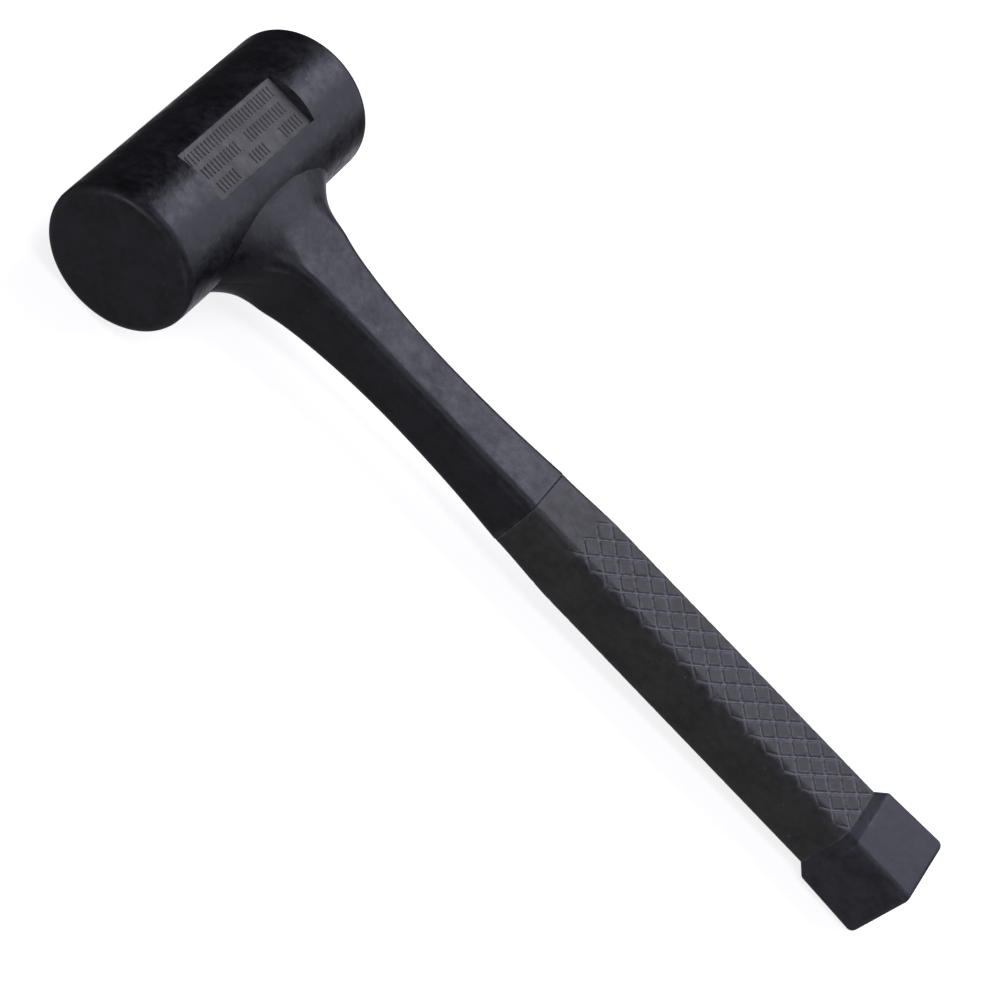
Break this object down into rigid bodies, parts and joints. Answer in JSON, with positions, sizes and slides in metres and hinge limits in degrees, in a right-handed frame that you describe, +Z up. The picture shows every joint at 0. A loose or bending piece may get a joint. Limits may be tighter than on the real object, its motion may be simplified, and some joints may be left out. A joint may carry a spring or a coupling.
{
  "type": "dead-blow mallet",
  "caption": "One-piece rubber-faced mallet with a cylindrical head over a shot-filled canister, a square tapered neck, a diamond-textured grip and a square butt.",
  "frame": {"origin": "centre of the bounding box's underside, midway along the mallet, with the head lying on its side", "axes": "+X along the handle from the head to the butt, +Y along the head from the front strike face to the rear one, +Z up through the side with the label recess"},
  "size_m": [0.331, 0.105, 0.05],
  "materials": {
    "cast_urethane": "satin bluish black cast polyurethane",
    "grip_urethane": "satin charcoal moulded polyurethane",
    "butt_urethane": "satin black moulded polyurethane",
    "canister_steel": "cold-drawn tube, shot blasted",
    "cap_steel": "pressed from sheet",
    "plug_steel": "zinc plated",
    "weld_metal": "rippled weld bead with heat tint",
    "socket_steel": "turned",
    "core_steel": "drawn tube with mill scale",
    "pin_steel": "ground",
    "end_plug_plastic": "moulded natural nylon",
    "ring_steel": "turned and knurled",
    "shot_steel": "tumbled steel balls"
  },
  "bodies": {
    "mallet": {"head_casing": "cast_urethane", "grip_sleeve": "grip_urethane", "butt_cap": "butt_urethane", "canister_tube": "canister_steel", "canister_front_cap": "cap_steel", "canister_rear_cap": "cap_steel", "fill_plug": "plug_steel", "end_cap_welds": "weld_metal", "core_socket": "socket_steel", "socket_weld": "weld_metal", "handle_core": "core_steel", "cross_pin": "pin_steel", "core_end_plug": "end_plug_plastic", "anchor_rings": "ring_steel"},
    "shot_charge": {"shot": "shot_steel"}
  },
  "joints": [
    {"name": "shot_slide", "type": "slide", "parent": "mallet", "child": "shot_charge", "axis": [0, 1, 0], "range_m": [0, 0.03]}
  ]
}
